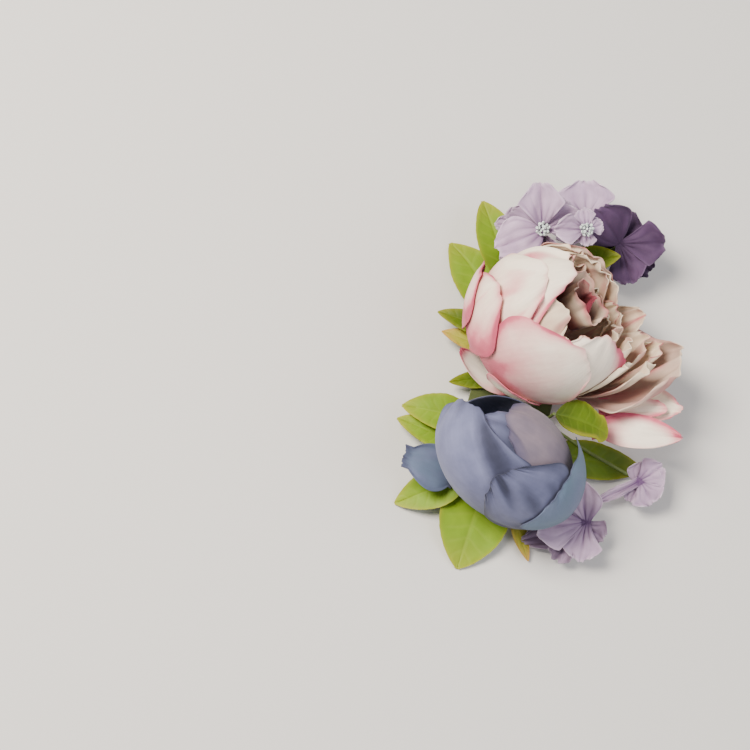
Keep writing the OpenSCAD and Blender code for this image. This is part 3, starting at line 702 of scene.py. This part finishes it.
def shape_cloth(name, form, wide, long, fineness, own_look):
    """A finished sheet of cloth from its form and look, with its colour marks and its map."""
    look = {**PLAIN_LOOK, **own_look}
    piece, across, along = grid(name, *fineness)
    seed = sum(map(ord, name))
    body = np.maximum(np.sin(np.pi * np.clip(along * 0.85 + 0.1, 0, 1)), 0.3)
    sides = [(1 + across) * wide / 2 * body, (1 - across) * wide / 2 * body, (1 - along) * long]
    spreads = np.broadcast_to(look["spread"], 4)
    bare = 1.0
    for strength, reach, distance in zip(look["rims"], spreads, [*sides, along * long]):
        bare = bare * (1 - strength * np.exp(-((np.maximum(distance, 0) / reach) ** 1.6)))
    rim = (1 - bare) * (1 + 0.3 * ripple(across * 1.5, along * 1.5, seed))
    nearest = np.maximum(np.min(sides, axis=0), 0)
    hem = look["hem"] * np.exp(-((nearest / HEM_WIDE) ** 2))
    pale = look["pale"] * np.exp(-((nearest / PALE_WIDE) ** 2))
    edge = np.maximum(smooth(0.72, 1, np.abs(across)), smooth(0.8, 1, along))
    fan = np.sin(across * look["folds"] * 1.6 + ripple(across * 0.7, along, seed + 1) * 2.5)
    fan = fan * (0.6 + 0.6 * ripple(across, along, seed + 7))
    wave = np.sin(across * 8 + 2.5 * ripple(across, along, seed + 9))
    # painted shade: the rim's colour laid in the troughs of the waves, where the surface dips
    valley_shade = look["valley_shade"] * np.clip(-wave, 0, 1) ** 2 * smooth(1.0, 0.5, along)
    patch = look["patch"] * np.clip(ripple(across * 1.2, along, seed + 10) - 0.1, 0, 1)
    pleats = np.abs(np.sin(across * 26 + ripple(across, along, seed + 8))) * smooth(0.55, 0.95, along)
    proud = (
        look["dents"] * ripple(across, along * 1.3, seed + 2) * smooth(0, 0.25, along)
        + look["crease"] * fan * smooth(0.05, 0.4, along)
        + look["ruffle"] * edge * ripple(across * 2.2, along * 2.2, seed + 3)
        + look["roll"] * edge**2
        + look["pleats"] * pleats
        + look["waves"] * smooth(0.15, 1, along) * wave
    )
    wider = 1 + look["ragged"] * ripple(np.sign(across) * 2, along * 2.5, seed + 4)
    longer = 1 - look["ragged"] * (1 + ripple(across * 2.5, 0 * along, seed + 5)) * 0.7
    longer = longer - look["round"] * across**2
    place(piece, form(across, along, proud, wider, longer))
    warm = look["warm"] * np.clip(0.8 + 0.5 * ripple(across, along, seed + 6), 0, 1)
    # painted shade: the foot's colour towards the foot, and shade's share of it all over
    foot = look["foot"] * (1 - smooth(0, look["foot_reach"], along)) + look["shade"]
    tint(piece, np.maximum(np.maximum(rim, hem), valley_shade + patch), foot, warm + pale)
    cloth_map(piece, wide, long)
    finish_cloth(piece)
    return piece


# Peony

# columns and rows of each kind of petal
PETAL_GRID = (56, 60)
INNER_GRID = (36, 36)
FRILL_GRID = (30, 36)
OUTER_GRID = (32, 48)
HEART_GRID = (12, 320)
PEONY_LOOKS = [
    dict(rims=(1.0, 0.6, 0.1, 1.0), spread=(7, 5, 3, 30), foot=0.12, warm=0.1, roll=0.3, folds=4),
    dict(rims=(0.7, 1.0, 0.3, 1.0), spread=(3, 9, 3, 24), foot=0.15, warm=0.3, roll=0.3, valley_shade=0.5,
         waves=0.3),
    dict(rims=(1.0, 0.9, 0.7, 1.0), spread=(9, 8, 5, 20), foot=0.35, roll=0.2, warm=0.2),
    dict(rims=(0.5, 1.0, 0.2, 1.0), spread=(3, 6, 3, 26), foot=0.1, warm=0.3, folds=6, waves=1.1,
         valley_shade=0.6, ruffle=0.6, round=0.04),
    dict(rims=(0.4, 1.0, 0.4, 1.0), spread=(2, 6, 2.5, 28), foot=0.1, warm=0.2, ruffle=0.9, waves=1.1,
         valley_shade=0.9, round=0.05),
    dict(rims=(0.1, 1.0, 0.4, 0.9), spread=(2, 9, 2.5, 24), foot=0.15, warm=0.05, ruffle=0.6, waves=0.5,
         valley_shade=0.3),
    dict(rims=(0.8, 0.9, 0.7, 1.0), spread=5.0, foot=0.4),
    dict(rims=(0.1, 0.1, 0.0, 0.8), spread=(3, 3, 2, 24), foot=0.5, warm=0.35, ruffle=2.2, folds=13,
         crease=1.1, dents=1.0, waves=1.6, valley_shade=1.0, patch=1.0, ragged=0.05, pale=0.9, round=0.1),
    dict(rims=(0.5, 0.5, 0.45, 0.9), spread=(3, 3, 2, 14), foot=0.6, warm=0.5, ruffle=0.8, waves=0.8,
         valley_shade=0.5),
]
BACK_PETALS = (8, 9)
for number, (row, look) in enumerate(zip(PEONY_PETALS, PEONY_LOOKS), 1):
    node = f"peony_petal_{number}"
    piece = shape_cloth(node + "_cloth", petal(PEONY, row), 2 * row.half, row.reach, PETAL_GRID, look)
    dress(piece, PEONY_BACK if number in BACK_PETALS else PEONY_CLOTH, node)

CROWDED_LOOK = dict(valley_shade=0.5, pale=0.5)
for number, row in enumerate(PEONY_INNER, 1):
    node = f"peony_inner_{number}"
    tip_dye = 0.5 if number % 3 == 1 else 0.0
    look = dict(CROWDED_LOOK, rims=(0.1, 0.1, tip_dye, 0.6), spread=(2, 2, 1.4, 9), foot=0.8,
                foot_reach=0.7, warm=0.3, patch=0.7, ruffle=0.9, dents=0.7, folds=9, waves=0.9)
    piece = shape_cloth(node + "_cloth", petal(PEONY, row), 2 * row.half, row.reach, INNER_GRID, look)
    dress(piece, PEONY_HEART, node)
for number, row in enumerate(PEONY_FRILLS, 1):
    tip_dye = 0.7 if number % 4 == 2 else 0.0
    warm = 0.2 if number % 2 else 0.6
    look = dict(CROWDED_LOOK, rims=(0.1, 0.1, tip_dye, 0.7), spread=(2, 2, 1.8, 8), foot=0.85,
                foot_reach=0.8, warm=warm, patch=0.8, ruffle=1.1, dents=0.8, folds=7, waves=1.0)
    name = f"peony_frill_{number}"
    piece = shape_cloth(name, petal(PEONY, row), 2 * row.half, row.reach, FRILL_GRID, look)
    dress(piece, PEONY_HEART)

OUTER_LOOKS = [
    dict(rims=(0.4, 0.4, 1.0, 0.7), spread=(2.5, 2.5, 5, 9), foot=0.3, roll=0.6),
    dict(rims=(0.8, 0.5, 0.4, 1.0), spread=(2, 2, 2, 12), foot=0.3, warm=0.15, roll=0.5, waves=0.5,
         round=0.14),
    dict(rims=(0.3, 0.95, 0.6, 1.0), spread=(2, 4, 5, 12), foot=0.3, warm=0.05, roll=0.5, waves=0.3),
    dict(rims=(0.5, 0.5, 0.6, 0.8), spread=(2, 2, 2, 9), foot=0.5, warm=0.5, ruffle=0.8, waves=0.4,
         round=0.14),
]
for number, (row, look) in enumerate(zip(PEONY_OUTER, OUTER_LOOKS), 1):
    node = f"peony_outer_{number}"
    piece = shape_cloth(node + "_cloth", leaf(row), 2 * row.half, length_of(row), OUTER_GRID, look)
    dress(piece, PEONY_CLOTH, node)

HEART_TURNED = math.radians(620)
HEART_FIRST_TURN = math.radians(60)
HEART_FOOT = 17
HEART_INSIDE, HEART_GROWTH = 5, 11
HEART_TALL, HEART_LONG = 18, 110


def heart_strip(across, along):
    """The gathered strip rolled up round the peony's axis, pinched together where it starts."""
    axis, front, aside = flower_axes(PEONY)
    turn = HEART_TURNED * along + HEART_FIRST_TURN
    upper = np.maximum(0, across)
    r = HEART_INSIDE + HEART_GROWTH * along + 1.3 * np.sin(turn * 4.5) + 0.4 * np.sin(turn * 13) * upper
    r = r * (1 + 0.12 * across) * (1 - 0.75 * smooth(0.05, 1, across) * smooth(0.4, 0, along))
    up = HEART_FOOT + across * (HEART_TALL / 2 - 3 * along)
    up = up + (1.2 * np.sin(turn * 3.2) + 0.5 * np.sin(turn * 11)) * upper
    return (
        seen(PEONY["at"])
        + np.multiply.outer(up, axis)
        + np.multiply.outer(r * np.cos(turn), front)
        + np.multiply.outer(r * np.sin(turn), aside)
    )


heart, across, along = grid("peony_heart_cloth", *HEART_GRID)
place(heart, heart_strip(across, along))
crimson = smooth(0.4, 1, across) * (0.55 + 0.45 * ripple(across, along * 9, 5))
crimson = np.maximum(crimson, smooth(0.5, 0.1, along))
# the foot's colour here is painted shade, darkest along the strip's lower edge, deep in the heart
tint(heart, crimson, smooth(0.9, -0.6, across), 0.4 + 0.4 * ripple(across, along * 6, 6))
cloth_map(heart, HEART_TALL, HEART_LONG)
finish_cloth(heart)
dress(heart, PEONY_HEART, "peony_heart")

# Rose

ROSE_GRID = (44, 48)
ROSE_OUTER_GRID = (36, 44)
ROSE_OUTER_LONG = 30
# shade lays painted shade all over a petal, in the foot's colour: on the inner petals and on two of the
# outer ones
ROSE_INSIDE_LOOK = dict(rims=(0.6, 0.6, 0.7, 0.5), spread=5.0, foot=0.5, warm=0.2, ruffle=0.4, hem=0.7,
                        shade=0.3)
ROSE_LOOKS = [
    dict(rims=(0.6, 0.7, 0.3, 0.8), spread=(8, 6, 3, 26), foot=0.3, roll=0.5, folds=6, crease=0.3,
         dents=0.6, waves=0.35, hem=1.0, patch=1.4),
    dict(rims=(0.7, 0.6, 0.2, 0.6), spread=(12, 7, 3, 24), foot=0.3, folds=6, crease=0.3, dents=0.5,
         waves=0.5, hem=1.0, shade=0.2, patch=1.4),
    dict(rims=(0.7, 0.7, 0.4, 0.5), spread=(6, 7, 3, 10), foot=0.4, folds=6, crease=0.3, dents=0.5,
         waves=0.5, hem=0.9, patch=1.2),
    dict(rims=(0.85, 0.8, 0.8, 0.8), spread=(7, 7, 4, 16), foot=0.4, folds=9, crease=0.35, pleats=0.7,
         dents=0.5, waves=0.4, hem=1.0, shade=0.2, patch=1.6),
    dict(rims=(0.2, 0.3, 0.3, 0.5), foot=0.2, warm=0.85, hem=0.7, waves=0.3, patch=0.4),
    ROSE_INSIDE_LOOK,
    ROSE_INSIDE_LOOK,
    dict(rims=(0.6, 0.6, 0.8, 0.5), spread=5.0, foot=0.6, ruffle=0.4, hem=0.7, shade=0.4),
]
MAUVE_PETAL = 3
for number, (row, look) in enumerate(zip(ROSE_PETALS, ROSE_LOOKS), 1):
    node = f"rose_petal_{number}"
    piece = shape_cloth(node + "_cloth", petal(ROSE, row), 2 * row.half, row.reach, ROSE_GRID, look)
    dress(piece, ROSE_MAUVE if number == MAUVE_PETAL else ROSE_CLOTH, node)
look = dict(rims=(0.3, 0.3, 0.6, 0.6), warm=0.5, roll=0.8)
form, wide = leaf(ROSE_OUTER), 2 * ROSE_OUTER.half
piece = shape_cloth("rose_outer_1_cloth", form, wide, ROSE_OUTER_LONG, ROSE_OUTER_GRID, look)
dress(piece, ROSE_CLOTH, "rose_outer_1")

# Leaves

LEAF_GRID = (30, 84)
DEEP_LEAVES = (3, 5, 11, 12, 13)
TURNED_LEAVES = (4, 10)
SIDE_VEINS = 7
SIDE_VEIN_WIDE = 0.11
MIDRIB_WIDE = 0.7
TEETH = 11
BLUNT = 0.5
for number, row in enumerate(LEAVES, 1):
    node = f"leaf_{number}"
    piece, across, along = grid(node + "_cloth", *LEAF_GRID)
    seed = 39 + number
    sweep = along * SIDE_VEINS - np.abs(across) * 1.1 + 0.12 * ripple(across, along, seed)
    side_vein = np.exp(-(((sweep % 1) - 0.5) / SIDE_VEIN_WIDE) ** 2) * smooth(1.0, 0.6, np.abs(across))
    midrib = np.exp(-((across * row.half / MIDRIB_WIDE) ** 2))
    vein = np.maximum(midrib, 0.6 * side_vein)
    body = np.sin(np.pi * along) ** 0.7
    swell = 0.5 * ripple(across, along * 2, seed + 1) * np.abs(across)
    wavy_edge = 0.35 * ripple(np.sign(across) * 3, along * 6, seed + 2) * np.abs(across) ** 3
    teeth = 0.03 * np.abs((along * TEETH) % 1 - 0.5) * np.abs(across)
    uneven = 0.03 * ripple(np.sign(across), along * 2, seed)
    # a leaf with a broad tip curls over along its near edge
    blunt = row.tip_width > BLUNT
    curl = 1.6 * smooth(0.55, 1, -across) * body * blunt
    proud = -0.3 * vein + (swell + wavy_edge) * body + curl
    place(piece, leaf(row)(across, along, proud, 1 + teeth + uneven, 1 - 0.16 * blunt * across**2))
    rim = 0.55 * np.exp(-(1 - np.abs(across)) * row.half * body) + 0.3 * smooth(0.6, 1, along)
    rim = np.maximum(rim, 0.8 * smooth(0.5, 0.9, -across) * blunt)
    tint(piece, rim, 0.8 * (1 - smooth(0, 0.5, along)), vein)
    cloth_map(piece, 2 * row.half, length_of(row))
    finish_cloth(piece)
    green = LEAF_CLOTH
    if number in DEEP_LEAVES:
        green = DEEP_LEAF_CLOTH
    elif number in TURNED_LEAVES:
        green = TURNED_LEAF_CLOTH
    dress(piece, green, node)

# Florets

LOBE_GRID = (26, 38)


def shape_floret(name, hub, rows, violet, first_seed):
    """A floret of soft lobes that meet at its hub, more violet towards the hub and pale at the rim, with
    painted violet shade in its creases.
    """
    lobes = [Lobe(*row) for row in rows]
    parts = []
    for k, own in enumerate(lobes):
        piece, across, along = grid(f"{name}_lobe_{k + 1}", *LOBE_GRID)
        seed = first_seed + k
        blade = smooth(0.15, 0.4, along)
        edge = np.maximum(smooth(0.7, 1, np.abs(across)), smooth(0.85, 1, along)) * blade
        crease = np.exp(-((across * own.half / 0.8) ** 2))
        side_crease = np.abs(np.sin(across * 7 + ripple(across, along, seed + 6))) ** 0.6
        swell = 0.8 * ripple(across, along * 1.5, seed) + 0.45 * side_crease - 0.4 * crease
        proud = blade * swell + 1.3 * edge * ripple(across * 2, along * 3, seed + 1)
        wider = 1 + 0.06 * ripple(np.sign(across) * 2, along * 2, seed + 2)
        longer = 1 - 0.05 * (1 + ripple(across * 2, 0 * along, seed + 3))
        place(piece, lobe(hub, lobes, k)(across, along, proud, wider, longer))
        side_rim = 0.35 * np.exp(-(1 - np.abs(across)) * own.half / 0.9)
        tip_rim = 0.45 * np.exp(-(1 - along) * own.length / 1.4)
        centre = 1 - smooth(0.05, 0.55, along + 0.12 * ripple(across, along, seed))
        # painted shade: veins marks the creases, where the surface dips between its ridges, for the foot's
        # violet
        veins = 0.4 * crease + 0.5 * (1 - side_crease) ** 2
        # the dark violet warm colour: partly dye, partly painted shade
        violet_and_shade_here = violet * np.clip(0.8 + 0.5 * ripple(across, along, seed + 4), 0, 1)
        foot = centre * 0.9 + veins * smooth(1, 0.4, along)
        tint(piece, (side_rim + tip_rim) * (1 - 0.6 * violet), foot, violet_and_shade_here)
        cloth_map(piece, 2 * own.half, own.length)
        parts.append(piece)
    alone(*parts)
    bpy.ops.object.join()
    floret = parts[0]
    floret.name = floret.data.name = name
    bpy.ops.object.mode_set(mode="EDIT")
    bpy.ops.mesh.select_all(action="SELECT")
    bpy.ops.mesh.remove_doubles(threshold=SEAM * MM)
    bpy.ops.mesh.normals_make_consistent(inside=False)
    bpy.ops.object.mode_set(mode="OBJECT")
    finish_cloth(floret)
    return floret


DEEP_FLORET = 3
floret_cloths = dict.fromkeys(range(1, len(FLORETS) + 1), FLORET_CLOTH)
floret_cloths[DEEP_FLORET] = FLORET_DEEP
for number, (hub_at, violet, lobes) in enumerate(FLORETS, 1):
    node = f"floret_{number}"
    floret = shape_floret(node + "_cloth", seen(hub_at), lobes, violet, 90 + 10 * number)
    dress(floret, floret_cloths[number], node)
for number, behind, violet, lobes in UNDER_LAYERS:
    hub = seen(FLORETS[number - 1][0]) - behind * TABLE_UP
    floret = shape_floret(f"floret_{number}_under_lobes", hub, lobes, violet, 200 + 10 * number)
    dress(floret, floret_cloths[number])

# Seed beads heaped over the hubs of the two open florets


def gather(name, model, frames):
    """Copies of a model, one for each of the given matrices, joined into one piece."""
    pieces = [model]
    for _ in frames[1:]:
        twin = model.copy()
        twin.data = model.data.copy()
        bpy.context.collection.objects.link(twin)
        pieces.append(twin)
    for piece, spot in zip(pieces, frames):
        piece.data.transform(spot)
    alone(*pieces)
    bpy.ops.object.transform_apply(location=True, rotation=True, scale=True)
    bpy.ops.object.join()
    whole = bpy.context.object
    whole.name = whole.data.name = name
    bpy.ops.object.shade_smooth_by_angle(angle=SOFT_ANGLE)
    return whole


OPEN_FLORETS = 2
# radius of the circle through a bead's wall, radius of the wall, and the most that a bead tilts
BEAD_ROUND = 0.42
BEAD_WALL = 0.42
BEAD_TILT = 1.2
# each ring's radius, its number of beads and its height over the hub
BEAD_RINGS = ((0, 1, 4.9), (1.5, 5, 4.4), (2.9, 9, 3.4), (2.8, 9, 2.3), (2.3, 7, 1.2))
draw = np.random.default_rng(7)
frames = []
for hub_at, _, _ in FLORETS[:OPEN_FLORETS]:
    for ring, count, height in BEAD_RINGS:
        for k in range(count):
            turn = 2 * math.pi * (k + 0.5 * draw.random()) / count
            reach = ring * draw.uniform(0.85, 1.2)
            lift = height + 0.5 * draw.random()
            spot = seen(hub_at) + [reach * math.cos(turn), reach * math.sin(turn), lift]
            tilt = Matrix.Rotation(draw.uniform(-BEAD_TILT, BEAD_TILT), 4, "X")
            tilt = tilt @ Matrix.Rotation(draw.uniform(-BEAD_TILT, BEAD_TILT), 4, "Y")
            frames.append(Matrix.Translation(on_table(spot)) @ tilt)
alone()
bpy.ops.mesh.primitive_torus_add(
    major_radius=BEAD_ROUND * MM, minor_radius=BEAD_WALL * MM, major_segments=12, minor_segments=8
)
beads = gather("floret_bead_clusters", bpy.context.object, frames)
dress(beads, BEAD_GLASS, "floret_beads")

# Felt pad, with blanket stitches round its edge

PAD_AT = np.array([-20, -18, 0]) + CENTRE
PAD_TURN = math.radians(69)
PAD_HALF = np.array([52, 22])
PAD_LOW, PAD_HIGH = 5, 7
PAD_EDGE = 0.6
alone()
bpy.ops.mesh.primitive_cylinder_add(vertices=128, radius=1, depth=1, end_fill_type="TRIFAN")
pad = bpy.context.object
pad.name = pad.data.name = "felt_pad_felt"
pad.data.transform(
    Matrix.Translation((PAD_AT + [0, 0, (PAD_LOW + PAD_HIGH) / 2]) * MM)
    @ Matrix.Rotation(PAD_TURN, 4, "Z")
    @ Matrix.Diagonal((*(PAD_HALF * MM), (PAD_HIGH - PAD_LOW) * MM, 1))
)
soften = pad.modifiers.new("soft edge", "BEVEL")
soften.width = PAD_EDGE * MM
soften.segments = 4
bpy.ops.object.modifier_apply(modifier=soften.name)
bpy.ops.object.shade_smooth_by_angle(angle=math.radians(40))
dress(pad, FELT, "felt_pad")

STITCHES = 84
STITCH_INSET = 1.6
STITCH_HALF = (1.9, 0.3, 0.22)
frames = []
for k in range(STITCHES):
    turn = 2 * math.pi * (k + 0.2 * draw.random()) / STITCHES
    rim = PAD_HALF * [math.cos(turn), math.sin(turn)]
    out = math.atan2(math.sin(turn) * PAD_HALF[0], math.cos(turn) * PAD_HALF[1])
    inset = rim - STITCH_INSET * np.array([math.cos(out), math.sin(out)])
    spot = Matrix.Rotation(PAD_TURN, 3, "Z") @ Vector((*inset, 0))
    under_pad = Matrix.Translation((np.array(spot) + PAD_AT + [0, 0, PAD_LOW]) * MM)
    frames.append(under_pad @ Matrix.Rotation(PAD_TURN + out, 4, "Z"))
alone()
bpy.ops.mesh.primitive_uv_sphere_add(segments=8, ring_count=6, radius=MM)
stitch = bpy.context.object
stitch.data.transform(Matrix.Diagonal((*STITCH_HALF, 1)))
stitches = gather("felt_pad_stitches", stitch, frames)
dress(stitches, STITCH_THREAD)

# Wires, cores and pin keep their solids
KEPT_SOLIDS = dict(stems=FLORAL_TAPE, peony_core=BROWN_TAPE, rose_core=BROWN_TAPE, bar_pin=PIN_STEEL)
for node, material in KEPT_SOLIDS.items():
    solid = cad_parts[node]
    if not solid.material_slots:
        solid.data.materials.append(material)
    for holder in solid.material_slots:
        holder.material = material


# Camera, lights and floor

CAMERA_HEIGHT = 1285
FRAME_PIXELS = 750
FOCAL_PIXELS = 2451
CORSAGE_PIXEL = (540, 371)
SENSOR = 36

camera = bpy.data.objects.new("camera", bpy.data.cameras.new("camera"))
bpy.context.collection.objects.link(camera)
bpy.context.scene.camera = camera
camera.data.sensor_width = SENSOR
camera.data.lens = SENSOR * FOCAL_PIXELS / FRAME_PIXELS
camera.data.clip_end = 20
right = (CORSAGE_PIXEL[0] - FRAME_PIXELS / 2) / FOCAL_PIXELS
above = (FRAME_PIXELS / 2 - CORSAGE_PIXEL[1]) / FOCAL_PIXELS
aim_back = Matrix.Rotation(math.atan(right), 3, "Y") @ Matrix.Rotation(-math.atan(above), 3, "X")
camera.matrix_world = (Matrix(TO_TABLE.tolist()) @ aim_back).to_4x4()
camera.location = Vector(on_table([0, 0, CAMERA_HEIGHT]))

FLOOR_WIDE = 6
alone()
bpy.ops.mesh.primitive_plane_add(size=FLOOR_WIDE)
floor = bpy.context.object
floor.name = "floor"
# matt paper: one even pale tone, so that only the shadows show on it
backdrop, _, _ = begin("matt paper backdrop", {"Roughness": 0.9, "Base Color": linear("#d9d7d3")})
floor.data.materials.append(backdrop)


def lamp(name, spot, size, power, colour):
    """A square soft light at a spot in metres, aimed at the corsage."""
    light = bpy.data.lights.new(name, "AREA")
    light.size = size
    light.energy = power
    light.color = linear(colour)[:3]
    holder = bpy.data.objects.new(name, light)
    bpy.context.collection.objects.link(holder)
    holder.location = spot
    holder.rotation_euler = (-Vector(spot)).to_track_quat("-Z", "Y").to_euler()


lamp("key", (-0.95, 0.3, 1.25), 0.6, 56, "#fff6ea")
lamp("fill", (0.9, -0.4, 1.1), 1.2, 13, "#f6f5fa")
world = bpy.data.worlds.new("studio")
world.use_nodes = True
sky = world.node_tree.nodes["Background"]
sky.inputs["Color"].default_value = linear("#eef0f4")
sky.inputs["Strength"].default_value = 0.42
bpy.context.scene.world = world
